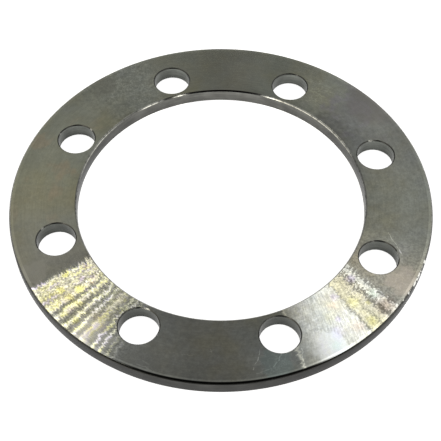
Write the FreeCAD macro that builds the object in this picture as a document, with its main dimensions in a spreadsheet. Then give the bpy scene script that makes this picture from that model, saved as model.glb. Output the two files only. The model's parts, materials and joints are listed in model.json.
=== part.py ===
# Ring flange: one flat steel ring, turned all over and drilled for eight bolts.
# Millimetres, +Z up. The origin is the centre of the bore on the lower face.
import FreeCAD
import Part
import Sketcher
import math
import os

# Driving sizes. The drilling is that of a PN 16 flange for DN 80 pipe, and the ring is
# as wide as its bolt holes need: a land of metal is left between them and each edge.
# That makes the rim 200 and the bore 137 in diameter.
SIZES = {
    "bolt_circle_diameter": 160.0,
    "bolt_hole_diameter": 18.0,
    "bolt_hole_count": 8,
    "land_at_rim": 11.0,
    "land_at_bore": 2.5,
    "plate_thickness": 7.5,
    "rim_chamfer": 0.7,
    "bore_chamfer": 0.7,
    "hole_edge_break": 0.5,
}
OUTER_RADIUS = "(sizes.bolt_circle_diameter + sizes.bolt_hole_diameter) / 2 + sizes.land_at_rim"
BORE_RADIUS = "(sizes.bolt_circle_diameter - sizes.bolt_hole_diameter) / 2 - sizes.land_at_bore"

NODE = "ring_flange"
PARTS_FOLDER = "parts"
FULL_TURN = 360.0
VOLUME_TOLERANCE = 1e-6

# A sketch names its own origin and its first axis by these numbers.
SKETCH_AXIS_X = -1
SKETCH_ORIGIN = -1
LINE_START = 1
LINE_END = 2


def fill_sheet(document):
    """Write the driving sizes into a sheet, one named cell for each."""
    sheet = document.addObject("Spreadsheet::Sheet", "sizes")
    for row, (alias, value) in enumerate(SIZES.items(), start=1):
        sheet.set(f"A{row}", alias)
        sheet.set(f"B{row}", str(value))
        sheet.setAlias(f"B{row}", alias)
    document.recompute()


def ring_radii():
    """Radius of the rim and of the bore, a land of metal beyond the bolt holes."""
    axis_radius = SIZES["bolt_circle_diameter"] / 2
    hole_radius = SIZES["bolt_hole_diameter"] / 2
    outer_radius = axis_radius + hole_radius + SIZES["land_at_rim"]
    bore_radius = axis_radius - hole_radius - SIZES["land_at_bore"]
    return outer_radius, bore_radius


def origin_feature(body, role):
    """Find one of the body's own origin planes or axes by its role."""
    return next(item for item in body.Origin.OriginFeatures if item.Role == role)


def new_section_sketch(body, name):
    """Make an empty sketch on the upright plane through the body's X and Z axes."""
    sketch = body.newObject("Sketcher::SketchObject", name)
    sketch.AttachmentSupport = [(origin_feature(body, "XZ_Plane"), "")]
    sketch.MapMode = "FlatFace"
    return sketch


def draw_closed_outline(sketch, corners):
    """Join the corners with lines, end to start, and return the lines' numbers."""
    points = [FreeCAD.Vector(across, up, 0.0) for across, up in corners]
    following = points[1:] + points[:1]
    lines = []
    for start, end in zip(points, following):
        lines.append(sketch.addGeometry(Part.LineSegment(start, end), False))
    for line, next_line in zip(lines, lines[1:] + lines[:1]):
        joint = Sketcher.Constraint("Coincident", line, LINE_END, next_line, LINE_START)
        sketch.addConstraint(joint)
    return lines


def bind(sketch, constraint, name, formula):
    """Add a dimension to the sketch and tie it to the sheet's cells."""
    index = sketch.addConstraint(constraint)
    sketch.renameConstraint(index, name)
    sketch.setExpression(f"Constraints.{name}", formula)


def tie_start(sketch, line, direction, name, formula):
    """Tie how far the start of a line stands across or up from the sketch's origin."""
    start = sketch.Geometry[line].StartPoint
    distance = start.x if direction == "DistanceX" else start.y
    constraint = Sketcher.Constraint(
        direction, SKETCH_ORIGIN, LINE_START, line, LINE_START, distance
    )
    bind(sketch, constraint, name, formula)


def tie_bevel(sketch, line, name, alias):
    """Give a corner's bevel two legs of one length, so that it lies at 45 degrees."""
    start = sketch.Geometry[line].StartPoint
    end = sketch.Geometry[line].EndPoint
    forwards = (LINE_START, LINE_END)
    backwards = (LINE_END, LINE_START)
    left, right = forwards if end.x > start.x else backwards
    low, high = forwards if end.y > start.y else backwards
    leg = SIZES[alias]
    across = Sketcher.Constraint("DistanceX", line, left, line, right, leg)
    up = Sketcher.Constraint("DistanceY", line, low, line, high, leg)
    bind(sketch, across, f"{name}_across", f"sizes.{alias}")
    bind(sketch, up, f"{name}_up", f"sizes.{alias}")


def turn_ring(body):
    """Revolve the ring's section, a bar with its four corners bevelled."""
    outer_radius, bore_radius = ring_radii()
    thickness = SIZES["plate_thickness"]
    rim_chamfer = SIZES["rim_chamfer"]
    bore_chamfer = SIZES["bore_chamfer"]

    section = new_section_sketch(body, "ring_section")
    lines = draw_closed_outline(
        section,
        (
            (bore_radius + bore_chamfer, 0.0),
            (outer_radius - rim_chamfer, 0.0),
            (outer_radius, rim_chamfer),
            (outer_radius, thickness - rim_chamfer),
            (outer_radius - rim_chamfer, thickness),
            (bore_radius + bore_chamfer, thickness),
            (bore_radius, thickness - bore_chamfer),
            (bore_radius, bore_chamfer),
        ),
    )
    lower_face, lower_rim, rim, upper_rim, upper_face, upper_bore, bore, lower_bore = lines

    section.addConstraint(Sketcher.Constraint("Horizontal", lower_face))
    section.addConstraint(Sketcher.Constraint("Horizontal", upper_face))
    section.addConstraint(Sketcher.Constraint("Vertical", rim))
    section.addConstraint(Sketcher.Constraint("Vertical", bore))
    section.addConstraint(
        Sketcher.Constraint("PointOnObject", lower_face, LINE_START, SKETCH_AXIS_X)
    )
    tie_start(section, rim, "DistanceX", "outer_radius", OUTER_RADIUS)
    tie_start(section, bore, "DistanceX", "bore_radius", BORE_RADIUS)
    tie_start(section, upper_face, "DistanceY", "thickness", "sizes.plate_thickness")
    tie_bevel(section, lower_rim, "lower_rim", "rim_chamfer")
    tie_bevel(section, upper_rim, "upper_rim", "rim_chamfer")
    tie_bevel(section, upper_bore, "upper_bore", "bore_chamfer")
    tie_bevel(section, lower_bore, "lower_bore", "bore_chamfer")

    ring = body.newObject("PartDesign::Revolution", "turned_ring")
    ring.Profile = section
    ring.ReferenceAxis = (section, ["V_Axis"])
    ring.Angle = FULL_TURN
    section.Visibility = False
    return ring


def drill_hole(body):
    """Cut one bolt hole, with the edge broken at both faces, as a turned groove."""
    axis_radius = SIZES["bolt_circle_diameter"] / 2
    hole_radius = SIZES["bolt_hole_diameter"] / 2
    thickness = SIZES["plate_thickness"]
    edge_break = SIZES["hole_edge_break"]

    section = new_section_sketch(body, "hole_section")
    # No hole lies on the X or Y axis: the first stands half a pitch round from X.
    # The sketch's own upward axis is its Y, so it turns about that.
    first_angle = FULL_TURN / 2 / SIZES["bolt_hole_count"]
    section.AttachmentOffset = FreeCAD.Placement(
        FreeCAD.Vector(), FreeCAD.Rotation(FreeCAD.Vector(0.0, 1.0, 0.0), first_angle)
    )
    section.setExpression("AttachmentOffset.Rotation.Angle", "180 deg / sizes.bolt_hole_count")

    lines = draw_closed_outline(
        section,
        (
            (axis_radius, 0.0),
            (axis_radius + hole_radius + edge_break, 0.0),
            (axis_radius + hole_radius, edge_break),
            (axis_radius + hole_radius, thickness - edge_break),
            (axis_radius + hole_radius + edge_break, thickness),
            (axis_radius, thickness),
        ),
    )
    mouth_below, break_below, wall, break_above, mouth_above, centre = lines
    axis_line = section.addGeometry(
        Part.LineSegment(
            FreeCAD.Vector(axis_radius, 0.0, 0.0),
            FreeCAD.Vector(axis_radius, thickness, 0.0),
        ),
        True,
    )
    section.addConstraint(
        Sketcher.Constraint("Coincident", axis_line, LINE_START, mouth_below, LINE_START)
    )
    section.addConstraint(
        Sketcher.Constraint("Coincident", axis_line, LINE_END, centre, LINE_START)
    )
    section.addConstraint(Sketcher.Constraint("Horizontal", mouth_below))
    section.addConstraint(Sketcher.Constraint("Horizontal", mouth_above))
    section.addConstraint(Sketcher.Constraint("Vertical", wall))
    section.addConstraint(Sketcher.Constraint("Vertical", centre))
    section.addConstraint(
        Sketcher.Constraint("PointOnObject", mouth_below, LINE_START, SKETCH_AXIS_X)
    )
    tie_start(section, mouth_below, "DistanceX", "axis_radius", "sizes.bolt_circle_diameter / 2")
    tie_start(section, centre, "DistanceY", "thickness", "sizes.plate_thickness")
    wall_radius = Sketcher.Constraint(
        "DistanceX", mouth_below, LINE_START, wall, LINE_START, hole_radius
    )
    bind(section, wall_radius, "hole_radius", "sizes.bolt_hole_diameter / 2")
    tie_bevel(section, break_below, "break_below", "hole_edge_break")
    tie_bevel(section, break_above, "break_above", "hole_edge_break")

    hole = body.newObject("PartDesign::Groove", "bolt_hole")
    hole.Profile = section
    hole.ReferenceAxis = (section, ["Axis0"])
    hole.Angle = FULL_TURN
    section.Visibility = False
    return hole


def repeat_hole(body, hole):
    """Repeat the hole round the bore, evenly spaced on the bolt circle."""
    pattern = body.newObject("PartDesign::PolarPattern", "bolt_holes")
    pattern.Originals = [hole]
    pattern.Axis = (origin_feature(body, "Z_Axis"), [""])
    pattern.Angle = FULL_TURN
    pattern.Occurrences = SIZES["bolt_hole_count"]
    pattern.setExpression("Occurrences", "sizes.bolt_hole_count")
    body.Tip = pattern
    return pattern


def bevel_volume(edge_radius, leg, outwards):
    """Volume that a 45 degree bevel takes off a round edge, by its centroid's path."""
    centroid_radius = edge_radius + leg / 3 * (1 if outwards else -1)
    return math.tau * centroid_radius * leg**2 / 2


def expected_ring_volume():
    """Volume of the undrilled ring, worked out from its sizes."""
    outer_radius, bore_radius = ring_radii()
    plain_ring = math.pi * (outer_radius**2 - bore_radius**2) * SIZES["plate_thickness"]
    at_rim = 2 * bevel_volume(outer_radius, SIZES["rim_chamfer"], outwards=False)
    at_bore = 2 * bevel_volume(bore_radius, SIZES["bore_chamfer"], outwards=True)
    return plain_ring - at_rim - at_bore


def check_volumes(ring, hole, pattern):
    """Stop if a cut took nothing, or the ring isn't as thick and wide as its sizes say."""
    ring_volume = ring.Shape.Volume
    expected = expected_ring_volume()
    if abs(ring_volume - expected) > VOLUME_TOLERANCE * expected:
        raise RuntimeError(f"ring volume {ring_volume}, expected {expected}")

    one_hole = ring_volume - hole.Shape.Volume
    all_holes = ring_volume - pattern.Shape.Volume
    if one_hole <= 0.0:
        raise RuntimeError("the bolt hole cuts nothing")
    if abs(all_holes - SIZES["bolt_hole_count"] * one_hole) > VOLUME_TOLERANCE * ring_volume:
        raise RuntimeError(f"all holes {all_holes}, one hole {one_hole}")
    print(f"ring {ring_volume:.1f}, one hole {one_hole:.1f}, part {pattern.Shape.Volume:.1f} mm3")


def check_objects(document, body):
    """Stop if any object failed to rebuild, or the body isn't one good solid."""
    failed = [item.Name for item in document.Objects if {"Invalid", "Error"} & set(item.State)]
    if failed:
        raise RuntimeError(f"failed objects: {failed}")
    if body.Shape.isNull() or not body.Shape.isValid():
        raise RuntimeError(f"{body.Label} has no valid shape")
    if len(body.Shape.Solids) != 1:
        raise RuntimeError(f"{body.Label} has {len(body.Shape.Solids)} solids")


document = FreeCAD.newDocument(NODE)
fill_sheet(document)

body = document.addObject("PartDesign::Body", NODE)
body.Label = NODE
body.Placement = FreeCAD.Placement()

ring = turn_ring(body)
document.recompute()
hole = drill_hole(body)
document.recompute()
pattern = repeat_hole(body, hole)
document.recompute()

check_objects(document, body)
check_volumes(ring, hole, pattern)

os.makedirs(PARTS_FOLDER, exist_ok=True)
body.Shape.exportStep(f"{PARTS_FOLDER}/{NODE}.step")
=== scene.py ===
import bpy
import json
import math
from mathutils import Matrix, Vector


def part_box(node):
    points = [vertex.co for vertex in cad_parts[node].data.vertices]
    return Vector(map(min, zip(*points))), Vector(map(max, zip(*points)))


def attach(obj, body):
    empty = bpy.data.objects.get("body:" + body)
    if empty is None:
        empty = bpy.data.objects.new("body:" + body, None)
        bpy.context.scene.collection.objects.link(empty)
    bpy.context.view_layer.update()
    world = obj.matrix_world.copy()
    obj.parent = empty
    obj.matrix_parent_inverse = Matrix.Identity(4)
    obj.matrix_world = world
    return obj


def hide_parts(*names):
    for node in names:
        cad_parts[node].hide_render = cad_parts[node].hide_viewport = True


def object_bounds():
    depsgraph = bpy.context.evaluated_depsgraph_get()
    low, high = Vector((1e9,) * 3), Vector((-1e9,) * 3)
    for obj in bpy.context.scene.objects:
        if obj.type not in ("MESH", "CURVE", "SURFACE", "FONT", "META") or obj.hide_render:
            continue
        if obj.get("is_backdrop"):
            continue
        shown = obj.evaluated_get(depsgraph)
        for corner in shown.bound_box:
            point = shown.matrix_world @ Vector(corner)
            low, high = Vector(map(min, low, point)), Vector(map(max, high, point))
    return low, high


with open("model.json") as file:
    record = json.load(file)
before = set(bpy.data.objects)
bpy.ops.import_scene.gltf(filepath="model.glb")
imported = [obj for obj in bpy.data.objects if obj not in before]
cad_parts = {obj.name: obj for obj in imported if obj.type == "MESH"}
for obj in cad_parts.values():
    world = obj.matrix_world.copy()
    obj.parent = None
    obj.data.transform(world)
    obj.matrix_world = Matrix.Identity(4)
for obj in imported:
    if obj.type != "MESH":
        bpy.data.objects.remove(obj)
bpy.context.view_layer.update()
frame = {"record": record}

# Sizes of the ring, in metres, read from the frame where it states them.
low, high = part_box("ring_flange")
OUTER_RADIUS = math.floor(min(-low[0], -low[1], high[0], high[1]) * 1e5) / 1e5
THICKNESS = high[2] - low[2]
mounts = {mount["name"]: mount for mount in frame["record"]["mounts"]}
BORE_RADIUS = mounts["bore"]["dims"]["r_mm"] / 1000
BOLT_CIRCLE_RADIUS = mounts["bolt_circle"]["dims"]["pcd_mm"] / 2000
HOLE_RADIUS = mounts["bolt_circle"]["dims"]["hole_r_mm"] / 1000
HOLE_COUNT = mounts["bolt_circle"]["dims"]["count"]
EDGE_BEVEL = 0.0007
HOLE_BREAK = 0.0005
EDGE_ROUNDING = 0.00006
RING_STEPS = 480
HOLE_STEPS = 96
CLOSE_POINTS = 0.00001

# The camera stands where the photograph's camera stood over the ring.
CAMERA_PLACE = Vector((0.02014, -0.29444, 0.38346))
CAMERA_TARGET = Vector((0.00044, -0.00935, 0.0))
CAMERA_LENS = 82.13

# Every angle in the lists below is an angle round the bore as the camera sees it, in degrees
# from its right, and the camera stands this many degrees round from the front.
CAMERA_TURN = 3.95

# Tool marks of the faces: how far each leans outwards, how much the lean differs from mark to
# mark and from spot to spot, how it grows from the bore to the rim for each metre, how much the
# marks waver and differ in tone, and how far the face lies from the marks' middle circle.
LEAN = 0.24
LEAN_SPREAD = 0.06
LEAN_LUMPS = 0.15
CROWN = 7.47
WAVER = 0.017
STREAK_DEPTH = 0.055
FACE_ROUGHNESS = 0.07
FACE_EDGE_TINT = 0.55
FACE_MIDDLE = BOLT_CIRCLE_RADIUS + 0.004

# Slight warp of the plate, which slants the lines of light across the face.
WARP_X = -0.030
WARP_Y = 0.058

# Course of the painted highlight hairs on the face: fine across, long along, for radius and for
# turn.
HAIR_ACROSS = (547.0, 794.0)
HAIR_ALONG = (188.0, -36.0)

# Colours of the walls, glow of the floor to the eye, and height up to which metal mirrors white.
RIM_COLOUR = (0.085, 0.085, 0.08)
BORE_COLOUR = (0.13, 0.13, 0.12)
HOLE_COLOUR = (0.10, 0.105, 0.095)
FLOOR_GLOW = 0.88
WALL_TOP = 0.12
# Strength that a full stop of the lamps' ramps stands for.
LAMP_FULL = 6.0

# Tints of the lamps, and how the tint drifts along each row of them.
WARM = (1.0, 0.96, 0.86)
STRAW = (1.0, 0.96, 0.74)
PALE = (1.0, 1.0, 0.98)
COOL = (0.93, 0.97, 1.0)
LEFT_TINTS = (
    (0.30, (0.66, 0.56, 1.0)), (0.40, (0.94, 0.89, 1.0)), (0.49, (1.0, 0.97, 0.90)),
    (0.57, (1.0, 0.97, 0.68)), (0.68, (0.96, 0.94, 0.24)),
)
RIGHT_TINTS = (
    (0.28, (0.90, 0.86, 1.0)), (0.38, (0.97, 0.96, 1.0)), (0.50, (1.0, 1.0, 1.02)),
    (0.60, (1.0, 0.98, 0.97)), (0.70, (1.0, 0.97, 0.88)),
)
EDGE_TINTS = (
    (0.35, (0.55, 0.53, 0.48)), (0.50, (1.0, 0.97, 0.90)), (0.65, (1.0, 1.0, 0.96)),
)
# The rows of lamps: angle round the face where each is mirrored, strength, tint.
LEFT_ROW = (
    (210.6, 0.0, WARM), (211.9, 0.0, WARM), (212.2, 1.8, PALE), (212.9, 1.8, WARM),
    (213.3, 1.0, WARM), (213.8, 1.6, WARM), (216.0, 1.3, WARM), (218.0, 1.4, WARM),
    (218.6, 0.35, WARM), (219.3, 1.95, WARM), (221.0, 1.85, WARM), (221.5, 0.18, WARM),
    (222.5, 0.18, WARM), (222.9, 2.1, PALE), (224.2, 1.8, WARM), (224.6, 0.16, WARM),
    (226.1, 0.16, WARM), (226.5, 2.4, PALE), (227.2, 2.0, PALE), (227.6, 0.18, WARM),
    (229.2, 0.18, WARM), (229.6, 2.3, PALE), (230.5, 0.34, WARM), (231.5, 0.30, WARM),
    (232.2, 1.3, WARM), (233.6, 0.8, WARM), (234.4, 0.24, WARM), (235.2, 0.0, PALE),
)
LEFT_FINE_ROW = (
    (234.0, 0.0, PALE), (235.0, 0.18, WARM), (235.7, 0.16, PALE), (236.1, 2.3, PALE),
    (236.5, 0.14, PALE), (237.8, 0.12, PALE), (238.2, 2.0, PALE), (238.6, 0.10, PALE),
    (240.1, 0.08, PALE), (240.5, 1.1, PALE), (240.9, 0.06, PALE), (241.8, 0.04, PALE),
    (242.2, 0.5, PALE), (242.6, 0.0, PALE),
)
RIGHT_ROW = (
    (291.2, 0.0, PALE), (291.5, 0.8, WARM), (291.8, 0.8, WARM), (292.1, 0.16, PALE),
    (294.3, 0.38, PALE), (296.8, 0.68, PALE), (298.8, 0.93, PALE), (303.0, 1.24, COOL),
    (308.3, 1.55, PALE), (311.7, 1.55, PALE), (312.0, 0.20, WARM), (312.3, 0.20, WARM),
    (312.6, 1.5, STRAW), (315.2, 1.4, STRAW), (315.5, 0.15, STRAW), (315.7, 0.15, STRAW),
    (316.0, 1.4, STRAW), (317.7, 1.3, WARM), (318.2, 0.20, WARM), (319.4, 0.20, WARM),
    (319.7, 1.6, PALE), (322.1, 1.4, COOL), (322.3, 0.36, COOL), (323.0, 0.28, PALE),
    (328.0, 0.30, WARM), (333.0, 0.22, WARM), (345.0, 0.0, WARM),
)
# The same lamps as the bevels see them, at a steeper tilt.
EDGE_ROW = (
    (200.0, 0.0, WARM), (206.0, 0.7, WARM), (225.0, 1.0, WARM), (244.0, 1.3, WARM),
    (246.5, 3.5, WARM), (250.8, 3.5, PALE), (252.0, 0.0, PALE), (285.2, 0.0, PALE),
    (286.0, 3.5, PALE), (289.0, 3.5, PALE), (290.0, 0.0, PALE), (296.0, 0.0, PALE),
    (297.5, 1.8, PALE), (303.0, 1.6, PALE), (305.0, 0.2, PALE), (316.0, 0.2, PALE),
    (322.0, 1.1, PALE), (344.0, 1.0, PALE), (350.0, 0.0, PALE),
)


def node(tree, kind, settings=None, **inputs):
    """Add a shader node, set its properties, then fill or link its inputs by name."""
    made = tree.nodes.new(kind)
    for name, value in (settings or {}).items():
        setattr(made, name, value)
    for name, value in inputs.items():
        key = int(name[1:]) if name[0] == "_" else name.replace("_", " ")
        socket = made.inputs[key]
        if isinstance(value, bpy.types.NodeSocket):
            tree.links.new(value, socket)
        else:
            socket.default_value = value
    return made


def math_node(tree, operation, first, second=0.0, third=0.0, clamp=False):
    """One number worked out from up to three."""
    made = node(
        tree, "ShaderNodeMath", {"operation": operation, "use_clamp": clamp},
        _0=first, _1=second, _2=third,
    )
    return made.outputs[0]


def vector_node(tree, operation, first, second=(0.0, 0.0, 0.0)):
    """One vector worked out from two."""
    made = node(tree, "ShaderNodeVectorMath", {"operation": operation}, _0=first, _1=second)
    return made.outputs["Vector"]


def scaled(tree, vector, factor):
    """A vector times a number."""
    made = node(
        tree, "ShaderNodeVectorMath", {"operation": "SCALE"}, Vector=vector, Scale=factor
    )
    return made.outputs["Vector"]


def ramp(tree, value, stops):
    """A colour ramp over a value, from (place, colour) stops."""
    made = node(tree, "ShaderNodeValToRGB", Fac=value)
    elements = made.color_ramp.elements
    while len(elements) < len(stops):
        elements.new(0.5)
    for element, (place, colour) in zip(elements, stops):
        element.position = place
        element.color = (*colour, 1.0)
    return made.outputs["Color"]


def grey_ramp(tree, value, stops):
    """A ramp of plain greys over a value."""
    return ramp(tree, value, [(place, (grey, grey, grey)) for place, grey in stops])


def noise(tree, vector, scale, detail=2.0, roughness=0.5):
    """Smooth noise from 0 to 1, about 0.5."""
    made = node(
        tree, "ShaderNodeTexNoise", {"noise_dimensions": "3D"},
        Vector=vector, Scale=scale, Detail=detail, Roughness=roughness,
    )
    return made.outputs[0]


def centred(tree, value, amount):
    """Noise turned to run evenly about zero, times an amount."""
    return math_node(tree, "MULTIPLY", math_node(tree, "SUBTRACT", value, 0.5), amount)


def new_material(name):
    """An empty material with its own shader and output."""
    material = bpy.data.materials.new(name)
    material.use_nodes = True
    tree = material.node_tree
    tree.nodes.clear()
    shader = tree.nodes.new("ShaderNodeBsdfPrincipled")
    output = tree.nodes.new("ShaderNodeOutputMaterial")
    tree.links.new(shader.outputs[0], output.inputs["Surface"])
    return material, tree, shader


def polar_frame(tree):
    """Place on the ring: its coordinates, radius, and outward and round directions."""
    coordinates = node(tree, "ShaderNodeTexCoord")
    place = coordinates.outputs["Object"]
    flat = vector_node(tree, "MULTIPLY", place, (1.0, 1.0, 0.0))
    outward = vector_node(tree, "NORMALIZE", flat)
    around = vector_node(tree, "CROSS_PRODUCT", (0.0, 0.0, 1.0), outward)
    length = node(tree, "ShaderNodeVectorMath", {"operation": "LENGTH"}, Vector=flat)
    radius = length.outputs["Value"]
    return place, coordinates.outputs["Normal"], radius, outward, around


def groove_coordinates(tree, radius, outward, turns, fineness):
    """Coordinates that run slowly round the ring and fast across the tool marks."""
    round_part = scaled(tree, outward, turns)
    across = math_node(tree, "MULTIPLY", radius, fineness)
    up = node(tree, "ShaderNodeCombineXYZ", Z=across)
    return vector_node(tree, "ADD", round_part, up.outputs[0])


def object_normal(tree, direction):
    """Turn a direction in the piece's own axes into the shading normal."""
    unit = vector_node(tree, "NORMALIZE", direction)
    half = scaled(tree, unit, 0.5)
    colour = vector_node(tree, "ADD", half, (0.5, 0.5, 0.5))
    made = node(tree, "ShaderNodeNormalMap", {"space": "OBJECT"}, Color=colour)
    return made.outputs["Normal"]


def smooth_step(tree, value, low_end, high_end, low_value=0.0, high_value=1.0):
    """A soft step of a value from one level to another."""
    made = node(
        tree, "ShaderNodeMapRange", {"interpolation_type": "SMOOTHSTEP"}, Value=value,
        From_Min=low_end, From_Max=high_end, To_Min=low_value, To_Max=high_value,
    )
    return made.outputs["Result"]


def slope(tree, value, low_end, high_end, low_value, high_value):
    """An even change of a value from one level to another."""
    made = node(
        tree, "ShaderNodeMapRange", Value=value,
        From_Min=low_end, From_Max=high_end, To_Min=low_value, To_Max=high_value,
    )
    return made.outputs["Result"]


def on_face(angle, radius_mm):
    """Point of the face at an angle in degrees, as the camera sees it, and a radius in mm."""
    turn = math.radians(angle + CAMERA_TURN)
    return Vector((math.cos(turn), math.sin(turn), 0.0)) * (radius_mm / 1000)


def turn_of(tree, place):
    """Angle round the bore, from 0 to 1 starting behind the camera's left."""
    parts = node(tree, "ShaderNodeSeparateXYZ", Vector=place)
    turn = math_node(tree, "ARCTAN2", parts.outputs["Y"], parts.outputs["X"])
    made = node(
        tree, "ShaderNodeMapRange", Value=turn, From_Min=-math.pi, From_Max=math.pi
    )
    return made.outputs["Result"]


def turn_stops(colours):
    """Ramp stops round the bore from (angle in degrees as the camera sees it, colour)."""
    stops = []
    for angle, colour in colours:
        turn = (angle + CAMERA_TURN + 180) % 360
        stops.append((turn / 360, colour))
    stops.sort(key=lambda stop: stop[0])
    return stops


def by_angle(tree, place, levels):
    """A number that changes round the bore, from (angle as the camera sees it, level)."""
    stops = turn_stops([(angle, (level, level, level)) for angle, level in levels])
    colour = ramp(tree, turn_of(tree, place), stops)
    return node(tree, "ShaderNodeSeparateColor", Color=colour).outputs[0]


def distance(tree, flat, centre):
    """How far a place is from a point."""
    away = vector_node(tree, "SUBTRACT", flat, tuple(centre))
    length = node(tree, "ShaderNodeVectorMath", {"operation": "LENGTH"}, Vector=away)
    return length.outputs["Value"]


def near_point(tree, flat, centre, size, edge):
    """Soft patch round a point: 1 inside, 0 outside."""
    return smooth_step(tree, distance(tree, flat, centre), size - edge, size + edge, 1.0, 0.0)


def near_line(tree, flat, first, last, width):
    """Thin line between two points: 1 on the line, 0 away from it."""
    along = last - first
    away = vector_node(tree, "SUBTRACT", flat, tuple(first))
    share = node(
        tree, "ShaderNodeVectorMath", {"operation": "DOT_PRODUCT"},
        _0=away, _1=tuple(along / along.length_squared),
    )
    share = math_node(tree, "ADD", share.outputs["Value"], 0.0, clamp=True)
    nearest = scaled(tree, tuple(along), share)
    off = vector_node(tree, "SUBTRACT", away, nearest)
    length = node(tree, "ShaderNodeVectorMath", {"operation": "LENGTH"}, Vector=off)
    return smooth_step(tree, length.outputs["Value"], 0.3 * width, width, 1.0, 0.0)


def blend_colour(tree, share, first, second, kind="MIX"):
    """Mix or multiply two colours by a share."""
    made = node(
        tree, "ShaderNodeMix", {"data_type": "RGBA", "blend_type": kind},
        _0=share, _6=first, _7=second,
    )
    return made.outputs[2]


# Tint of the steel round the face, with painted reflection: how light or dark the face mirrors the
# room at each angle, as seen from the camera: angle, colour.
FACE_TINTS_AND_REFLECTION = (
    (0, (0.505, 0.520, 0.445)), (12, (0.485, 0.495, 0.440)), (32, (0.440, 0.443, 0.400)),
    (42, (0.427, 0.428, 0.388)), (51, (0.560, 0.575, 0.480)), (62, (0.510, 0.525, 0.445)),
    (72, (0.520, 0.540, 0.455)), (84, (0.615, 0.610, 0.508)), (100, (0.592, 0.603, 0.503)),
    (118, (0.562, 0.580, 0.505)), (130, (0.450, 0.460, 0.385)), (146, (0.470, 0.478, 0.385)),
    (162, (0.480, 0.490, 0.390)), (172, (0.510, 0.505, 0.372)), (184, (0.515, 0.500, 0.362)),
    (192, (0.500, 0.500, 0.415)), (205, (0.515, 0.495, 0.392)), (210.5, (0.430, 0.412, 0.330)),
    (212, (0.490, 0.490, 0.430)), (244, (0.430, 0.435, 0.395)), (256, (0.460, 0.465, 0.425)),
    (272, (0.550, 0.555, 0.510)), (288, (0.510, 0.530, 0.485)), (296, (0.500, 0.510, 0.480)),
    (322, (0.505, 0.505, 0.460)), (331, (0.530, 0.510, 0.440)), (342, (0.510, 0.520, 0.455)),
)
# How strongly the face is mottled round it: angle, depth.
MOTTLE_DEPTHS = (
    (0, 0.11), (60, 0.10), (76, 0.03), (110, 0.03), (116, 0.17), (134, 0.17), (142, 0.06),
    (200, 0.07), (214, 0.11), (345, 0.12),
)
# How lumpy the face is round it: angle, share.
LUMP_SHARES = ((0, 1.0), (56, 1.0), (66, 0.2), (112, 0.2), (122, 1.0))
# How much darker the face is at the rim, round it: angle, share.
RIM_FALLS = (
    (0, 0.12), (52, 0.12), (68, 0.0), (88, -0.03), (98, 0.02), (110, 0.08), (120, 0.12),
)
# How much the face is crowned round it: angle, share.
CROWN_SHARES = ((0, 1.0), (48, 1.0), (68, 0.70), (90, 0.66), (106, 0.64), (132, 1.0))
# How ragged the ends of the lines of light are round the face: angle, share.
RAGGED_SHARES = (
    (205, 0.0), (209, 0.40), (212.6, 0.10), (216, 0.0), (313, 0.0), (317, 0.40), (321, 0.85),
    (326, 0.85), (330, 0.0),
)
# How strongly the fine grain of single tool marks shows, painted far stronger as glints where the
# lines of light fall, and how strongly the painted highlight hairs show.
GRAIN_AND_GLINT_DEPTHS = (
    (0, 0.05), (76, 0.03), (110, 0.03), (116, 0.09), (134, 0.08), (142, 0.03), (205, 0.03),
    (211.4, 0.06), (212.2, 0.42), (218, 0.42), (223, 0.30), (233, 0.32), (243, 0.16),
    (248, 0.04), (292, 0.04), (297, 0.13), (309, 0.09), (312, 0.20), (321.8, 0.30), (323, 0.22),
    (336, 0.18), (345, 0.07),
)
HIGHLIGHT_HAIR_DEPTHS = ((291, 0.0), (298, 0.14), (310, 0.18), (313, 0.08), (322, 0.0))
# How strong the painted highlight line near the rim is round the face: angle, share.
RIM_HIGHLIGHT_SHARES = ((20, 0.15), (180, 0.15), (205, 0.30), (225, 0.42), (345, 0.42), (0, 0.30))
# Fine scratches and squiggles on the face: ends (angle, radius in mm), width, lightness.
SCRATCHES = (
    ((338.0, 88.4), (344.4, 80.0), 0.30, 0.8), ((337.6, 88.6), (338.8, 87.3), 0.50, 1.6),
    ((278.3, 94.0), (280.2, 89.5), 0.34, 0.9), ((280.2, 89.5), (281.1, 85.0), 0.34, 0.9),
    ((283.6, 94.0), (285.4, 92.0), 0.38, 0.7), ((285.4, 92.0), (286.7, 89.0), 0.38, 0.7),
    ((279.0, 96.0), (283.0, 95.0), 0.35, 0.35), ((291.0, 97.5), (292.6, 90.0), 0.25, 0.6),
    ((266.3, 84.8), (267.9, 83.6), 0.25, 0.5), ((266.9, 83.4), (267.4, 85.0), 0.25, 0.5),
    ((259.0, 87.6), (262.0, 87.2), 0.25, 0.4), ((248.5, 97.0), (252.5, 97.6), 0.40, 0.4),
    ((249.5, 94.5), (251.5, 95.6), 0.30, 0.3), ((117.0, 86.0), (124.0, 89.0), 0.25, 0.25),
    ((121.0, 94.0), (126.0, 88.5), 0.25, 0.25), ((128.0, 92.0), (131.0, 84.0), 0.25, 0.2),
    ((54.0, 84.0), (58.5, 80.5), 0.35, 0.35), ((50.0, 88.0), (55.0, 86.0), 0.30, 0.3),
)
# How far the scratches wander off their straight course, in metres.
SCRATCH_WANDER = 0.0016
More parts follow.
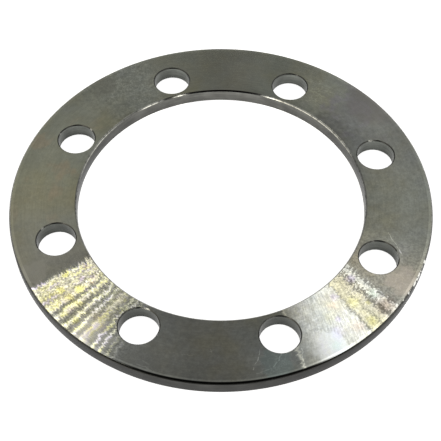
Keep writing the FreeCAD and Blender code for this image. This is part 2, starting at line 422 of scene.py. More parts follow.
# Larger stains with ragged borders, and two pale patches at 234 and 300 degrees that are painted
# highlight where the lines of light fall: angle, radius in mm, size in metres, colour, depth.
STAINS_AND_PAINTED_HIGHLIGHTS = (
    (284.5, 92.0, 0.0085, (0.43, 0.53, 0.50, 1.0), 0.6),
    (208.0, 95.0, 0.0070, (0.56, 0.54, 0.45, 1.0), 0.60),
    (130.0, 95.0, 0.0090, (0.34, 0.345, 0.29, 1.0), 0.60),
    (37.0, 95.5, 0.0150, (0.355, 0.34, 0.315, 1.0), 0.64),
    (250.0, 96.0, 0.0100, (0.34, 0.345, 0.31, 1.0), 0.60),
    (234.0, 95.0, 0.0120, (0.66, 0.66, 0.62, 1.0), 0.80),
    (300.0, 95.0, 0.0100, (0.61, 0.63, 0.61, 1.0), 0.90),
    (329.0, 95.0, 0.0090, (0.66, 0.61, 0.53, 1.0), 0.75),
)
# Patches of fine scuffs: angle, radius in mm, size and soft border in metres, depth.
SCUFF_PATCHES = (
    (122, 87, 0.018, 0.010, 0.24), (284, 92, 0.008, 0.0048, 0.22), (56, 83, 0.009, 0.0054, 0.30),
    (250, 96, 0.008, 0.0048, 0.14), (300, 84, 0.014, 0.0084, 0.08), (340, 90, 0.012, 0.0072, 0.12),
    (3, 93, 0.009, 0.0054, 0.12), (329, 94, 0.010, 0.0060, 0.16), (17, 92, 0.007, 0.0042, 0.14),
)
# Small blots of painted sheen: the rainbow colours that light takes off the fine tool marks,
# painted in the lines of light: angle, radius in mm, size in mm, colour, depth.
YELLOW_SHEEN = (1.0, 0.99, 0.30, 1.0)
LILAC_SHEEN = (0.78, 0.70, 1.0, 1.0)
PINK_SHEEN = (1.0, 0.86, 0.80, 1.0)
MINT_SHEEN = (0.90, 1.0, 0.95, 1.0)
BROWN_SHEEN = (0.62, 0.50, 0.42, 1.0)
PALE_LILAC_SHEEN = (0.97, 0.92, 1.14, 1.0)
PALE_PINK_SHEEN = (1.06, 0.96, 0.95, 1.0)
SHEEN_BLOTS = (
    (212.9, 82.6, 2.8, YELLOW_SHEEN, 0.65), (216.8, 89.2, 2.8, YELLOW_SHEEN, 0.65),
    (220.6, 88.2, 2.6, YELLOW_SHEEN, 0.55), (220.0, 82.0, 3.0, YELLOW_SHEEN, 0.55),
    (224.0, 95.4, 2.2, YELLOW_SHEEN, 0.5), (224.2, 86.6, 2.4, YELLOW_SHEEN, 0.45),
    (227.6, 93.3, 2.6, YELLOW_SHEEN, 0.5), (232.4, 93.0, 2.2, YELLOW_SHEEN, 0.4),
    (217.2, 78.2, 1.8, LILAC_SHEEN, 0.9), (213.6, 73.3, 1.9, LILAC_SHEEN, 0.9),
    (218.9, 73.3, 1.9, LILAC_SHEEN, 0.7), (224.4, 91.6, 1.7, LILAC_SHEEN, 0.8),
    (221.7, 79.8, 1.4, LILAC_SHEEN, 0.8), (221.0, 75.5, 1.9, PINK_SHEEN, 0.8),
    (231.1, 86.5, 3.0, BROWN_SHEEN, 0.35), (234.9, 88.7, 3.0, BROWN_SHEEN, 0.35),
    (313.5, 95.5, 3.8, YELLOW_SHEEN, 0.42), (314.1, 83.2, 3.8, YELLOW_SHEEN, 0.38),
    (317.2, 88.6, 1.8, YELLOW_SHEEN, 0.40), (305.0, 82.5, 4.0, YELLOW_SHEEN, 0.12),
    (301.0, 95.4, 3.5, MINT_SHEEN, 0.7), (320.4, 87.0, 3.5, MINT_SHEEN, 0.8),
    (320.7, 74.6, 3.0, LILAC_SHEEN, 0.7), (306.6, 85.3, 1.8, PALE_LILAC_SHEEN, 1.0),
    (311.0, 76.0, 2.6, PALE_LILAC_SHEEN, 1.0), (308.5, 78.7, 2.4, PALE_PINK_SHEEN, 1.0),
    (309.5, 93.5, 4.0, PALE_PINK_SHEEN, 0.9), (304.0, 90.0, 4.5, PALE_LILAC_SHEEN, 0.6),
    (320.0, 95.0, 6.5, BROWN_SHEEN, 0.80),
)


def face_tint_and_reflection(tree, place, flat, radius, outward):
    """Tint of the steel round the face, with painted reflection that changes round it, in soft
    patches, with drawn-out heat stains.
    """
    tint = ramp(tree, turn_of(tree, place), turn_stops(FACE_TINTS_AND_REFLECTION))
    patches = noise(tree, place, 42.0, 4.0, 0.6)
    drift = ramp(
        tree, patches,
        (
            (0.34, (0.95, 0.97, 1.02)), (0.46, (0.985, 1.0, 0.99)),
            (0.56, (1.0, 0.995, 0.95)), (0.68, (1.02, 0.99, 0.86)),
        ),
    )
    tint = vector_node(tree, "MULTIPLY", tint, drift)

    # Brownish stains, drawn out along the tool marks, on the left of the ring.
    stain_marks = noise(tree, groove_coordinates(tree, radius, outward, 5.0, 95.0), 1.0, 3.0)
    brown = smooth_step(tree, stain_marks, 0.54, 0.68)
    left_side = near_point(tree, flat, on_face(168, 86), 0.034, 0.016)
    brown = math_node(tree, "MULTIPLY", math_node(tree, "MULTIPLY", brown, left_side), 0.50)
    tint = blend_colour(tree, brown, tint, (0.60, 0.49, 0.33, 1.0))
    # Violet ones at the back right.
    violet_marks = noise(tree, groove_coordinates(tree, radius, outward, 11.0, 140.0), 1.0, 2.0)
    violet = smooth_step(tree, violet_marks, 0.50, 0.66)
    right_back = near_point(tree, flat, on_face(38, 86), 0.020, 0.012)
    violet = math_node(tree, "MULTIPLY", math_node(tree, "MULTIPLY", violet, right_back), 0.6)
    return blend_colour(tree, violet, tint, (0.47, 0.45, 0.49, 1.0))


def vary(tree, tone, change):
    """A tone made lighter or darker by a change about zero."""
    return math_node(tree, "MULTIPLY", tone, math_node(tree, "ADD", change, 1.0))


def face_tone(tree, place, radius, outward):
    """Fine light and dark of the face: tool marks and mottling, with painted glints and painted
    highlight hairs.
    """
    streaks = noise(tree, groove_coordinates(tree, radius, outward, 8.0, 1500.0), 1.0, 3.0, 0.6)
    tone = smooth_step(tree, streaks, 0.25, 0.75, 1.0 - STREAK_DEPTH, 1.0 + STREAK_DEPTH)
    mottle = smooth_step(tree, noise(tree, place, 420.0, 4.0, 0.65), 0.25, 0.75, -1.0, 1.0)
    mottle = math_node(tree, "MULTIPLY", mottle, by_angle(tree, place, MOTTLE_DEPTHS))
    tone = vary(tree, tone, mottle)
    cloud = noise(tree, place, 95.0, 4.0, 0.6)
    tone = math_node(tree, "MULTIPLY", tone, smooth_step(tree, cloud, 0.3, 0.7, 0.955, 1.045))

    # A fine grain of single tool marks, painted much stronger in the lines of light as painted
    # glints.
    grain_and_glints = smooth_step(tree, noise(tree, place, 1150.0, 1.0), 0.30, 0.70, -1.0, 1.0)
    grain_and_glints = math_node(tree, "MULTIPLY", grain_and_glints, by_angle(tree, place, GRAIN_AND_GLINT_DEPTHS))
    tone = vary(tree, tone, grain_and_glints)

    # Painted highlight: slanted bright hairs in the right line of light.
    turn = turn_of(tree, place)
    courses = []
    for radius_scale, turn_scale in (HAIR_ACROSS, HAIR_ALONG):
        turn_part = math_node(tree, "MULTIPLY", turn, turn_scale)
        courses.append(math_node(tree, "MULTIPLY_ADD", radius, radius_scale, turn_part))
    hair_place = node(tree, "ShaderNodeCombineXYZ", X=courses[0], Y=courses[1])
    highlight_hairs = noise(tree, hair_place.outputs[0], 1.0, 1.0)
    highlight_hairs = smooth_step(tree, highlight_hairs, 0.32, 0.68, -1.0, 1.0)
    highlight_hairs = math_node(tree, "MULTIPLY", highlight_hairs, by_angle(tree, place, HIGHLIGHT_HAIR_DEPTHS))
    tone = vary(tree, tone, highlight_hairs)

    # The face is a little darker towards the rim, but not at the back.
    fall = smooth_step(tree, radius, BOLT_CIRCLE_RADIUS + 0.006, OUTER_RADIUS)
    fall = math_node(tree, "MULTIPLY", fall, by_angle(tree, place, RIM_FALLS))
    return math_node(tree, "MULTIPLY", tone, math_node(tree, "SUBTRACT", 1.0, fall))


def stains_and_sheen(tree, place, flat, tint):
    """Lay the larger stains, the painted highlight patches and the small blots of painted sheen
    over the tint.
    """
    ragged = centred(tree, noise(tree, place, 160.0, 3.0), 0.012)
    for angle, stain_radius, size, colour, depth in STAINS_AND_PAINTED_HIGHLIGHTS:
        reach = distance(tree, flat, on_face(angle, stain_radius))
        reach = math_node(tree, "ADD", reach, ragged)
        share = smooth_step(tree, reach, 0.6 * size, size, depth, 0.0)
        tint = blend_colour(tree, share, tint, colour)
    ragged = centred(tree, noise(tree, place, 520.0, 2.0), 0.004)
    for angle, blot_radius, size, colour, depth in SHEEN_BLOTS:
        reach = distance(tree, flat, on_face(angle, blot_radius))
        reach = math_node(tree, "ADD", reach, ragged)
        share = smooth_step(tree, reach, 0.0001 * size, 0.0011 * size, depth, 0.0)
        tint = blend_colour(tree, share, tint, colour, "MULTIPLY")
    return tint


def wear_and_rim_highlight(tree, place, flat, radius):
    """How much lighter scuffs and scratches make the face, and the painted highlight line near the
    rim.
    """
    ridges = noise(tree, place, 330.0, 3.0, 0.6)
    ridge = math_node(tree, "ABSOLUTE", math_node(tree, "SUBTRACT", ridges, 0.5))
    scuffs = smooth_step(tree, ridge, 0.0, 0.045, 1.0, 0.0)
    scuffed = 0.0
    for angle, patch_radius, size, border, depth in SCUFF_PATCHES:
        share = near_point(tree, flat, on_face(angle, patch_radius), size, border)
        share = math_node(tree, "MULTIPLY", share, depth)
        scuffed = math_node(tree, "MAXIMUM", scuffed, share)
    light = math_node(tree, "MULTIPLY", scuffs, scuffed)

    # Scratches wander a little off their straight course.
    wander = node(
        tree, "ShaderNodeTexNoise", {"noise_dimensions": "3D"},
        Vector=place, Scale=420.0, Detail=2.0, Roughness=0.5,
    )
    shift = vector_node(tree, "SUBTRACT", wander.outputs[1], (0.5, 0.5, 0.5))
    wavy = vector_node(tree, "ADD", flat, scaled(tree, shift, SCRATCH_WANDER))
    for first, last, width, lightness in SCRATCHES:
        line = near_line(tree, wavy, on_face(*first), on_face(*last), width / 1000)
        line = math_node(tree, "MULTIPLY", line, lightness)
        light = math_node(tree, "MAXIMUM", light, line)

    # Painted highlight: a light line on the face just inside the rim bevel.
    edge = OUTER_RADIUS - EDGE_BEVEL
    rim_highlight = smooth_step(tree, radius, edge - 0.0015, edge - 0.0011)
    rim_highlight = math_node(tree, "MULTIPLY", rim_highlight, by_angle(tree, place, RIM_HIGHLIGHT_SHARES))
    return math_node(tree, "ADD", light, rim_highlight)


def face_colour(tree, place, radius, outward):
    """Colour of the turned faces: tinted steel with painted reflection, stained, worn, with
    painted sheen and highlights, and a painted black shade line at the front edge.
    """
    flat = vector_node(tree, "MULTIPLY", place, (1.0, 1.0, 0.0))
    tint = face_tint_and_reflection(tree, place, flat, radius, outward)
    tint = scaled(tree, tint, face_tone(tree, place, radius, outward))
    tint = stains_and_sheen(tree, place, flat, tint)
    light = wear_and_rim_highlight(tree, place, flat, radius)
    tint = scaled(tree, tint, math_node(tree, "ADD", light, 1.0))
    # Painted shade: a black line on the face just inside the rim bevel at the front, where the
    # edge mirrors the dark room by the camera.
    edge = OUTER_RADIUS - EDGE_BEVEL
    front_edge_shade = smooth_step(tree, radius, edge - 0.00062, edge - 0.00036)
    front_shade_zone = near_point(tree, flat, on_face(271, 99.7), 0.046, 0.010)
    front_edge_shade = math_node(tree, "MULTIPLY", front_edge_shade, front_shade_zone)
    return blend_colour(tree, front_edge_shade, tint, (0.02, 0.02, 0.02, 1.0))


def turned_face_steel():
    """Flat faces, turned on a lathe: fine rings of tool marks round the bore."""
    material, tree, shader = new_material("turned_face_steel")
    place, normal, radius, outward, around = polar_frame(tree)

    # Each mark leans a little outwards, and no two lean quite alike.
    lean_marks = noise(tree, groove_coordinates(tree, radius, outward, 14.0, 1900.0), 1.0, 2.0)
    lean = math_node(tree, "ADD", centred(tree, lean_marks, LEAN_SPREAD), LEAN)
    lumps = noise(tree, place, 270.0, 1.0)
    lumps = math_node(
        tree, "MULTIPLY", centred(tree, lumps, LEAN_LUMPS), by_angle(tree, place, LUMP_SHARES)
    )
    lean = math_node(tree, "ADD", lean, lumps)
    # The face is turned very slightly crowned, so the lean grows from the bore to the rim.
    middle = (BORE_RADIUS + OUTER_RADIUS) / 2
    crown = math_node(tree, "MULTIPLY", math_node(tree, "SUBTRACT", radius, middle), CROWN)
    crown = math_node(tree, "MULTIPLY", crown, by_angle(tree, place, CROWN_SHARES))
    lean = math_node(tree, "ADD", lean, crown)
    # Each mark also wavers along its length.
    waver_marks = noise(tree, groove_coordinates(tree, radius, outward, 11.0, 1250.0), 1.0, 1.0)
    waver = centred(tree, waver_marks, WAVER)
    # Towards the ends of the lines of light the marks are ragged.
    ragged = centred(tree, noise(tree, place, 980.0, 2.0), 0.045)
    ragged = math_node(tree, "MULTIPLY", ragged, by_angle(tree, place, RAGGED_SHARES))
    waver = math_node(tree, "ADD", waver, ragged)
    # The plate is very slightly warped, which slants the lines of light across the face.
    pull = -1000 * LEAN * math.radians(1.0)
    twist = node(
        tree, "ShaderNodeVectorMath", {"operation": "DOT_PRODUCT"},
        _0=outward, _1=(pull * WARP_X, pull * WARP_Y, 0.0),
    )
    off_middle = math_node(tree, "SUBTRACT", radius, FACE_MIDDLE)
    warp = math_node(tree, "MULTIPLY", twist.outputs["Value"], off_middle)
    waver = math_node(tree, "ADD", waver, warp)
    tilted = vector_node(tree, "ADD", normal, scaled(tree, outward, lean))
    tilted = vector_node(tree, "ADD", tilted, scaled(tree, around, waver))

    shader.inputs["Metallic"].default_value = 1.0
    shader.inputs["Roughness"].default_value = FACE_ROUGHNESS
    shader.inputs["Anisotropic"].default_value = 1.0
    edge_tint = (FACE_EDGE_TINT, FACE_EDGE_TINT, FACE_EDGE_TINT, 1.0)
    shader.inputs["Specular Tint"].default_value = edge_tint
    tree.links.new(face_colour(tree, place, radius, outward), shader.inputs["Base Color"])
    tree.links.new(object_normal(tree, tilted), shader.inputs["Normal"])
    tree.links.new(outward, shader.inputs["Tangent"])
    return material


def wall_steel(
    name, colour, roughness, top_share, foot_share, side_share=1.0, front_share=1.0,
    flank_share=1.0,
):
    """Walls cut round an upright axis: level marks, with painted light and shade, darker towards
    the foot and the sides.
    """
    material, tree, shader = new_material(name)
    coordinates = node(tree, "ShaderNodeTexCoord")
    place = coordinates.outputs["Object"]
    stretched = vector_node(tree, "MULTIPLY", place, (90.0, 90.0, 2200.0))
    marks = noise(tree, stretched, 1.0, 3.0)
    smudges = noise(tree, place, 130.0, 3.0)
    low_colour = tuple(0.80 * channel for channel in colour)
    high_colour = tuple(1.20 * channel for channel in colour)
    tint = ramp(tree, marks, ((0.3, low_colour), (0.7, high_colour)))
    tint = scaled(tree, tint, smooth_step(tree, smudges, 0.3, 0.7, 0.82, 1.18))
    parts = node(tree, "ShaderNodeSeparateXYZ", Vector=place)
    sideways = math_node(tree, "ABSOLUTE", parts.outputs["X"])
    reach = BOLT_CIRCLE_RADIUS
    # Painted light and shade: lighter or darker by height, sideways, at the bore's flanks and from
    # front to back.
    for shade in (
        slope(tree, parts.outputs["Z"], 0.0, THICKNESS, foot_share, top_share),
        slope(tree, sideways, 0.0, reach, 1.0, side_share),
        smooth_step(tree, sideways, 0.80 * BORE_RADIUS, BORE_RADIUS, 1.0, flank_share),
        slope(tree, parts.outputs["Y"], -reach, reach, front_share, 1.0),
    ):
        tint = scaled(tree, tint, shade)
    bump = node(tree, "ShaderNodeBump", Height=marks, Strength=0.25, Distance=0.0001)
    shader.inputs["Metallic"].default_value = 1.0
    shader.inputs["Roughness"].default_value = roughness
    tree.links.new(tint, shader.inputs["Base Color"])
    tree.links.new(bump.outputs[0], shader.inputs["Normal"])
    return material


def bevel_material(name, roughness):
    """A bevel's shader with its place, a fine noise for nicks, and a soft dent from them."""
    material, tree, shader = new_material(name)
    place = node(tree, "ShaderNodeTexCoord").outputs["Object"]
    nicks = noise(tree, place, 620.0, 2.0)
    bump = node(tree, "ShaderNodeBump", Height=nicks, Strength=0.1, Distance=0.0002)
    shader.inputs["Metallic"].default_value = 1.0
    shader.inputs["Roughness"].default_value = roughness
    tree.links.new(bump.outputs[0], shader.inputs["Normal"])
    return material, tree, shader, place, nicks


# Painted light and shade of the bevels, at angles as the camera sees them: how bright the bore's
# bevel is, and how grey the rim's.
BORE_BEVEL_LIGHT = (
    (0, 0.35), (20, 0.36), (24, 0.85), (34, 0.90), (50, 1.0), (60, 0.80), (66, 1.0), (71, 1.0),
    (74, 0.20), (103, 0.20), (105, 1.0), (109, 1.0), (110.5, 0.12), (114, 0.12), (117, 1.0),
    (124, 0.95), (128, 0.45), (133, 0.45), (140, 0.65), (150, 0.90), (160, 0.66), (168, 0.60),
    (174, 0.36),
)
RIM_BEVEL_SHADE = (
    (190, 0.20), (205, 0.12), (215, 0.10), (225, 0.07), (236, 0.03), (243, 0.008), (250, 0.003),
    (292, 0.003), (299, 0.008), (306, 0.03), (315, 0.06), (325, 0.11), (335, 0.24), (350, 0.22),
)


def bore_bevel_steel():
    """Bevel round the bore, worn a little duller here and there, with painted highlights and shade
    round it.
    """
    material, tree, shader, place, nicks = bevel_material("bore_bevel_steel", 0.13)
    wear = smooth_step(tree, nicks, 0.36, 0.50)
    tint = blend_colour(tree, wear, (0.36, 0.36, 0.33, 1.0), (0.64, 0.64, 0.59, 1.0))
    # Painted highlights and shade round the bore's bevel, by angle as the camera sees it.
    tint = scaled(tree, tint, by_angle(tree, place, BORE_BEVEL_LIGHT))
    tree.links.new(tint, shader.inputs["Base Color"])
    return material


def rim_bevel_steel():
    """Bevel round the rim, painted black in front and grey at the sides as shade, with a few chips
    painted bright as glints.
    """
    material, tree, shader, place, nicks = bevel_material("rim_bevel_steel", 0.45)
    flat = vector_node(tree, "MULTIPLY", place, (1.0, 1.0, 0.0))
    # Painted shade round the rim's bevel: black in front, grey at the sides.
    bevel_shades = [(angle, (grey, grey, 0.92 * grey)) for angle, grey in RIM_BEVEL_SHADE]
    tint = ramp(tree, turn_of(tree, place), turn_stops(bevel_shades))
    tint = scaled(tree, tint, smooth_step(tree, nicks, 0.35, 0.65, 0.75, 1.3))
    # Painted shade: the foot of the bevel is darkened to a black line.
    height = node(tree, "ShaderNodeSeparateXYZ", Vector=place).outputs["Z"]
    edge = THICKNESS - EDGE_BEVEL
    foot_shade = smooth_step(tree, height, edge, edge + 0.65 * EDGE_BEVEL, 1.0, 0.0)
    tint = blend_colour(tree, foot_shade, tint, (0.06, 0.06, 0.057, 1.0))
    # Small chips near the rim, painted bright as glints.
    chip_glints = smooth_step(tree, noise(tree, place, 330.0, 2.0), 0.56, 0.62)
    chip_glint_area = near_point(tree, flat, on_face(330, 99.7), 0.012, 0.002)
    chip_glints = math_node(tree, "MULTIPLY", chip_glints, chip_glint_area)
    lone_chip_glint = near_point(tree, flat, on_face(337.6, 99.7), 0.0009, 0.0003)
    chip_glints = math_node(tree, "MAXIMUM", chip_glints, lone_chip_glint)
    tint = blend_colour(tree, chip_glints, tint, (0.95, 0.95, 0.90, 1.0))
    tree.links.new(tint, shader.inputs["Base Color"])
    return material


def hole_edge_steel():
    """Broken edges of the holes: painted dark as shade, with a few short painted glints."""
    material, tree, shader, place, nicks = bevel_material("hole_edge_steel", 0.3)
    # Painted shade and painted glints: the edges are dark all round, with short bright lines.
    edge_glints = smooth_step(tree, noise(tree, place, 130.0, 1.0), 0.62, 0.66)
    tint = blend_colour(tree, edge_glints, (0.070, 0.070, 0.065, 1.0), (0.40, 0.40, 0.37, 1.0))
    tree.links.new(tint, shader.inputs["Base Color"])
    return material


def ray_shares(tree):
    """Whether the camera sees a place straight, and whether it sees it mirrored or through."""
    path = node(tree, "ShaderNodeLightPath")
    mirrored = math_node(
        tree, "ADD", path.outputs["Is Glossy Ray"], path.outputs["Is Transmission Ray"], clamp=True
    )
    return path.outputs["Is Camera Ray"], mirrored


def floor_paint():
    """Plain white floor, as pale to the eye and in the metal as white paper."""
    material, tree, shader = new_material("floor_paint")
    coordinates = node(tree, "ShaderNodeTexCoord")
    speckle = noise(tree, coordinates.outputs["Object"], 900.0, 2.0)
    tint = ramp(tree, speckle, ((0.3, (0.86, 0.86, 0.86)), (0.7, (0.90, 0.90, 0.90))))
    tree.links.new(tint, shader.inputs["Base Color"])
    shader.inputs["Roughness"].default_value = 0.9
    shader.inputs["Specular IOR Level"].default_value = 0.0
    seen = math_node(tree, "ADD", *ray_shares(tree), clamp=True)
    glow = math_node(tree, "MULTIPLY", seen, FLOOR_GLOW)
    shader.inputs["Emission Color"].default_value = (1.0, 1.0, 1.0, 1.0)
    tree.links.new(glow, shader.inputs["Emission Strength"])
    return material


def clear_selection():
    """Leave object mode with nothing selected."""
    if bpy.context.object and bpy.context.object.mode != "OBJECT":
        bpy.ops.object.mode_set(mode="OBJECT")
    bpy.ops.object.select_all(action="DESELECT")


def upright_section(name, centre_across, width, height):
    """A flat upright rectangle from a plane, standing on the floor, before it is spun."""
    clear_selection()
    bpy.ops.mesh.primitive_plane_add(
        size=1.0, location=(centre_across, 0.0, height / 2), rotation=(math.pi / 2, 0.0, 0.0)
    )
    section = bpy.context.object
    section.name = name
    section.scale = (width, height, 1.0)
    bpy.ops.object.transform_apply(location=True, rotation=True, scale=True)
    return section


def select_corners(piece, wanted):
    """Select the points of a mesh that a test picks, ready for edit mode."""
    bpy.context.view_layer.objects.active = piece
    bpy.ops.object.mode_set(mode="EDIT")
    bpy.ops.mesh.select_mode(type="VERT")
    bpy.ops.mesh.select_all(action="DESELECT")
    bpy.ops.object.mode_set(mode="OBJECT")
    for vertex in piece.data.vertices:
        vertex.select = wanted(vertex.co)
    bpy.ops.object.mode_set(mode="EDIT")


def spin_round(piece, centre, steps):
    """Sweep the whole section once round an upright axis and close the seam."""
    bpy.context.view_layer.objects.active = piece
    bpy.ops.object.mode_set(mode="EDIT")
    bpy.ops.mesh.select_all(action="SELECT")
    bpy.ops.mesh.delete(type="ONLY_FACE")
    bpy.ops.mesh.select_all(action="SELECT")
    bpy.ops.mesh.spin(
        steps=steps, angle=2 * math.pi, center=centre, axis=(0.0, 0.0, 1.0), use_auto_merge=True
    )
    bpy.ops.mesh.select_all(action="SELECT")
    bpy.ops.mesh.remove_doubles(threshold=1e-6)
    bpy.ops.mesh.normals_make_consistent(inside=False)
    bpy.ops.object.mode_set(mode="OBJECT")


def turned_ring():
    """The ring: a rectangular section with bevelled corners, spun round the bore."""
    width = OUTER_RADIUS - BORE_RADIUS
    ring = upright_section("flange_ring", BORE_RADIUS + width / 2, width, THICKNESS)
    select_corners(ring, lambda co: True)
    bpy.ops.mesh.bevel(offset=EDGE_BEVEL, offset_type="OFFSET", segments=1, affect="VERTICES")
    bpy.ops.object.mode_set(mode="OBJECT")
    select_corners(ring, lambda co: True)
    bpy.ops.mesh.bevel(
        offset=EDGE_ROUNDING, offset_type="OFFSET", segments=2, affect="VERTICES"
    )
    bpy.ops.object.mode_set(mode="OBJECT")
    spin_round(ring, (0.0, 0.0, 0.0), RING_STEPS)
    return ring


def hole_cutter():
    """The shape that one bolt hole takes away: a round bar that flares at both faces."""
    first = math.pi / HOLE_COUNT
    reach = 0.001
    flare = HOLE_BREAK + reach
    clear_selection()
    bpy.ops.mesh.primitive_cylinder_add(
        vertices=HOLE_STEPS, radius=HOLE_RADIUS, depth=THICKNESS - 2 * HOLE_BREAK,
        end_fill_type="NGON",
        location=(
            BOLT_CIRCLE_RADIUS * math.cos(first), BOLT_CIRCLE_RADIUS * math.sin(first),
            THICKNESS / 2,
        ),
    )
    cutter = bpy.context.object
    cutter.name = "hole_cutter"
    bpy.ops.object.transform_apply(location=True, rotation=True, scale=True)
    centre = Vector((
        BOLT_CIRCLE_RADIUS * math.cos(first), BOLT_CIRCLE_RADIUS * math.sin(first), 0.0
    ))
    widen = (HOLE_RADIUS + flare) / HOLE_RADIUS
    for side in (1, -1):
        bpy.ops.object.mode_set(mode="EDIT")
        bpy.ops.mesh.select_mode(type="FACE")
        bpy.ops.mesh.select_all(action="DESELECT")
        bpy.ops.object.mode_set(mode="OBJECT")
        for face in cutter.data.polygons:
            face.select = face.normal.z * side > 0.9
        bpy.ops.object.mode_set(mode="EDIT")
        bpy.ops.mesh.extrude_region_move(
            TRANSFORM_OT_translate={"value": (0.0, 0.0, side * flare)}
        )
        bpy.ops.transform.resize(value=(widen, widen, 1.0), center_override=centre)
        bpy.ops.object.mode_set(mode="OBJECT")
    return cutter


def drill_holes(ring):
    """Cut the bolt holes through the ring, evenly spaced."""
    cutter = hole_cutter()
    for index in range(HOLE_COUNT):
        clear_selection()
        copy = cutter.copy()
        copy.data = cutter.data.copy()
        bpy.context.collection.objects.link(copy)
        copy.rotation_euler = (0.0, 0.0, 2 * math.pi * index / HOLE_COUNT)
        copy.select_set(True)
        bpy.context.view_layer.objects.active = copy
        bpy.ops.object.transform_apply(location=False, rotation=True, scale=False)
        clear_selection()
        bpy.context.view_layer.objects.active = ring
        ring.select_set(True)
        cut = ring.modifiers.new("bolt_hole", "BOOLEAN")
        cut.operation = "DIFFERENCE"
        cut.solver = "EXACT"
        cut.object = copy
        bpy.ops.object.modifier_apply(modifier=cut.name)
        bpy.data.objects.remove(copy, do_unlink=True)
    bpy.data.objects.remove(cutter, do_unlink=True)
    # The cuts leave a few points almost on top of each other, which become one.
    select_corners(ring, lambda co: True)
    bpy.ops.mesh.remove_doubles(threshold=CLOSE_POINTS)
    bpy.ops.mesh.dissolve_degenerate(threshold=0.1 * CLOSE_POINTS)
    bpy.ops.object.mode_set(mode="OBJECT")


def dress_ring(ring):
    """Give each kind of surface its own finish, by where it lies and how it faces."""
    finishes = (
        turned_face_steel(),
        wall_steel("rim_steel", RIM_COLOUR, 0.45, 0.88, 0.15, side_share=0.25),
        wall_steel("bore_steel", BORE_COLOUR, 0.35, 1.42, 0.76, side_share=0.40, flank_share=0.42),
        wall_steel("drilled_steel", HOLE_COLOUR, 0.4, 1.75, 0.66, front_share=0.52),
        bore_bevel_steel(),
        rim_bevel_steel(),
        hole_edge_steel(),
    )
    for finish in finishes:
        ring.data.materials.append(finish)
    face, rim, bore, drilled, bore_bevel, rim_bevel, hole_edge = range(7)
    for polygon in ring.data.polygons:
        radius = Vector((polygon.center.x, polygon.center.y)).length
        upright = abs(polygon.normal.z)
        in_face = BORE_RADIUS + 2 * EDGE_BEVEL < radius < OUTER_RADIUS - 2 * EDGE_BEVEL
        if upright > 0.95:
            polygon.material_index = face
        elif in_face:
            polygon.material_index = hole_edge if upright > 0.3 else drilled
        elif upright > 0.3:
            polygon.material_index = rim_bevel if radius > BOLT_CIRCLE_RADIUS else bore_bevel
        else:
            polygon.material_index = rim if radius > BOLT_CIRCLE_RADIUS else bore
    clear_selection()
    bpy.context.view_layer.objects.active = ring
    ring.select_set(True)
    bpy.ops.object.shade_smooth_by_angle(angle=math.radians(25))
    # The two flat faces are shaded flat, right up to the rounding of their edges.
    normals = [tuple(corner.vector) for corner in ring.data.corner_normals]
    for polygon in ring.data.polygons:
        if abs(polygon.normal.z) > 0.9999:
            for corner in polygon.loop_indices:
                normals[corner] = (0.0, 0.0, math.copysign(1.0, polygon.normal.z))
    ring.data.normals_split_custom_set(normals)


def point_at(piece, place, target):
    """Stand a lamp or camera at a place and turn it to a target."""
    piece.location = place
    piece.rotation_euler = (Vector(target) - Vector(place)).to_track_quat("-Z", "Y").to_euler()


def groove_turn(tree, direction, row_middle):
    """Turn and tilt of the tool marks that mirror a direction of light to the camera."""
    middle = math.radians(row_middle + CAMERA_TURN)
    outward = (math.cos(middle), math.sin(middle), 0.0)
    camera = tuple(CAMERA_PLACE - Vector((0.0, 0.0, THICKNESS)))
    for _ in range(3):
        spot = scaled(tree, outward, FACE_MIDDLE)
        away = vector_node(tree, "SUBTRACT", camera, spot)
        length = node(tree, "ShaderNodeVectorMath", {"operation": "LENGTH"}, Vector=away)
        nearness = math_node(tree, "DIVIDE", 1.0, length.outputs["Value"])
        total = vector_node(tree, "ADD", direction, scaled(tree, camera, nearness))
        flat = vector_node(tree, "MULTIPLY", total, (1.0, 1.0, 0.0))
        outward = vector_node(tree, "NORMALIZE", flat)
    parts = node(tree, "ShaderNodeSeparateXYZ", Vector=total)
    turn = math_node(tree, "ARCTAN2", parts.outputs["Y"], parts.outputs["X"])
    reach = node(tree, "ShaderNodeVectorMath", {"operation": "LENGTH"}, Vector=flat)
    offset = math_node(tree, "MULTIPLY", nearness, FACE_MIDDLE)
    sideways = math_node(tree, "SUBTRACT", reach.outputs["Value"], offset)
    tilt = math_node(tree, "DIVIDE", sideways, parts.outputs["Z"])
    return turn, tilt


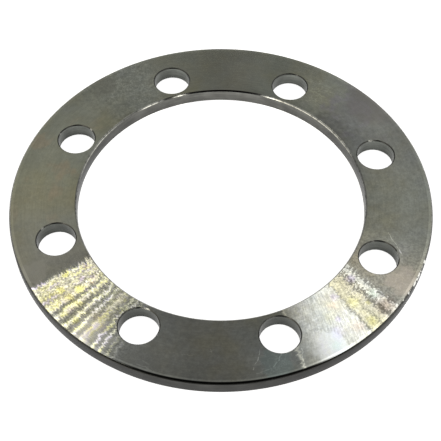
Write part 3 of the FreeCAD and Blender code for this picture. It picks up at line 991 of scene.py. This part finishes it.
def lamp_row(tree, direction, stops, tints, first_tilt, last_tilt, uneven_depth):
    """A fan of narrow lamps: light over the row from (angle in degrees, strength, tint)."""
    first = stops[0][0]
    last = stops[-1][0]
    turn, tilt = groove_turn(tree, direction, (first + last) / 2)
    along = node(
        tree, "ShaderNodeMapRange", {"clamp": True}, Value=turn,
        From_Min=math.radians(first + CAMERA_TURN - 360),
        From_Max=math.radians(last + CAMERA_TURN - 360),
    )
    colours = []
    for angle, strength, tint in stops:
        share = (angle - first) / (last - first)
        colours.append((share, tuple(strength * channel / LAMP_FULL for channel in tint)))
    light = ramp(tree, along.outputs["Result"], colours)
    rise = node(
        tree, "ShaderNodeMapRange", {"interpolation_type": "SMOOTHSTEP"},
        Value=tilt, From_Min=first_tilt, From_Max=first_tilt + 0.05,
    )
    fall = node(
        tree, "ShaderNodeMapRange", {"interpolation_type": "SMOOTHSTEP"},
        Value=tilt, From_Min=last_tilt, From_Max=last_tilt + 0.1, To_Min=1.0, To_Max=0.0,
    )
    mask = math_node(tree, "MULTIPLY", rise.outputs["Result"], fall.outputs["Result"])
    mask = math_node(tree, "MULTIPLY", mask, LAMP_FULL)
    # Each row is made of small lamps, so its light is finely uneven along its length.
    place = node(tree, "ShaderNodeCombineXYZ", X=turn, Y=tilt)
    pitch = vector_node(tree, "MULTIPLY", place.outputs[0], (90.0, 35.0, 1.0))
    pitch = noise(tree, pitch, 1.0, 1.0)
    uneven = node(
        tree, "ShaderNodeMapRange", Value=pitch, From_Min=0.3, From_Max=0.7,
        To_Min=1.0 - uneven_depth, To_Max=1.0 + uneven_depth,
    )
    mask = math_node(tree, "MULTIPLY", mask, uneven.outputs["Result"])
    # The lamps are not quite one colour: the tint drifts along and across the row.
    drift = vector_node(tree, "MULTIPLY", place.outputs[0], (50.0, 38.0, 1.0))
    tint = ramp(tree, noise(tree, drift, 1.0, 0.0), tints)
    light = vector_node(tree, "MULTIPLY", light, tint)
    return scaled(tree, light, mask)


def grey_room():
    """A dim room with a pale wall all round, and a fan of lamps to the left and right."""
    world = bpy.data.worlds.new("grey_room")
    bpy.context.scene.world = world
    world.use_nodes = True
    tree = world.node_tree
    tree.nodes.clear()
    direction = node(tree, "ShaderNodeTexCoord").outputs["Generated"]
    parts = node(tree, "ShaderNodeSeparateXYZ", Vector=direction)
    sideways = math_node(tree, "ABSOLUTE", parts.outputs["X"])
    room = grey_ramp(
        tree, sideways, ((0.0, 0.165), (0.10, 0.18), (0.38, 0.34), (0.7, 0.40), (1.0, 0.42))
    )
    # The room is darkest behind the camera.
    facing = node(
        tree, "ShaderNodeVectorMath", {"operation": "DOT_PRODUCT"},
        _0=direction, _1=tuple((CAMERA_PLACE - CAMERA_TARGET).normalized()),
    )
    shade = node(
        tree, "ShaderNodeMapRange", {"interpolation_type": "SMOOTHSTEP"},
        Value=facing.outputs["Value"], From_Min=0.925, From_Max=0.950, To_Min=1.0, To_Max=0.05,
    )
    room = scaled(tree, room, shade.outputs["Result"])
    # The far wall is a little paler right of its middle.
    facing = node(
        tree, "ShaderNodeVectorMath", {"operation": "DOT_PRODUCT"},
        _0=direction, _1=tuple(Vector((0.20, 0.93, 0.32)).normalized()),
    )
    room = scaled(tree, room, smooth_step(tree, facing.outputs["Value"], 0.96, 0.985, 1.0, 1.32))
    whole = room
    rows = (
        (LEFT_ROW, LEFT_TINTS, 0.05, 0.42, 0.6),
        (LEFT_FINE_ROW, LEFT_TINTS, 0.05, 0.42, 0.6),
        (RIGHT_ROW, RIGHT_TINTS, 0.05, 0.42, 0.12),
        (EDGE_ROW, EDGE_TINTS, 0.75, 1.5, 0.5),
    )
    for stops, tints, first_tilt, last_tilt, uneven_depth in rows:
        light = lamp_row(tree, direction, stops, tints, first_tilt, last_tilt, uneven_depth)
        whole = vector_node(tree, "ADD", whole, light)
    # The camera sees plain white above the floor's far edge, and the metal mirrors it low down.
    camera_share, mirror_share = ray_shares(tree)
    low_down = smooth_step(tree, parts.outputs["Z"], WALL_TOP - 0.04, WALL_TOP, 1.0, 0.0)
    white = math_node(tree, "MULTIPLY", mirror_share, low_down)
    white = math_node(tree, "ADD", white, camera_share, clamp=True)
    whole = blend_colour(tree, white, whole, (1.0, 1.0, 1.0, 1.0))
    background = node(tree, "ShaderNodeBackground", Color=whole, Strength=1.0)
    output = tree.nodes.new("ShaderNodeOutputWorld")
    tree.links.new(background.outputs[0], output.inputs["Surface"])


def lay_floor():
    """A wide plain floor under the ring."""
    clear_selection()
    bpy.ops.mesh.primitive_plane_add(size=12.0, location=(0.0, 0.0, 0.0))
    floor = bpy.context.object
    floor.name = "floor"
    floor.data.materials.append(floor_paint())
    floor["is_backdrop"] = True


def place_camera():
    """The camera of the photograph, level across, looking down at the ring."""
    camera = bpy.data.cameras.new("camera")
    camera.lens = CAMERA_LENS
    camera.sensor_width = 36.0
    camera.clip_start = 0.01
    piece = bpy.data.objects.new("camera", camera)
    bpy.context.collection.objects.link(piece)
    point_at(piece, CAMERA_PLACE, CAMERA_TARGET)
    bpy.context.scene.camera = piece


ring = turned_ring()
drill_holes(ring)
dress_ring(ring)
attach(ring, "root")
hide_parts("ring_flange")

lay_floor()
grey_room()
place_camera()
bpy.context.scene.view_settings.view_transform = "Standard"

low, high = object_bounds()
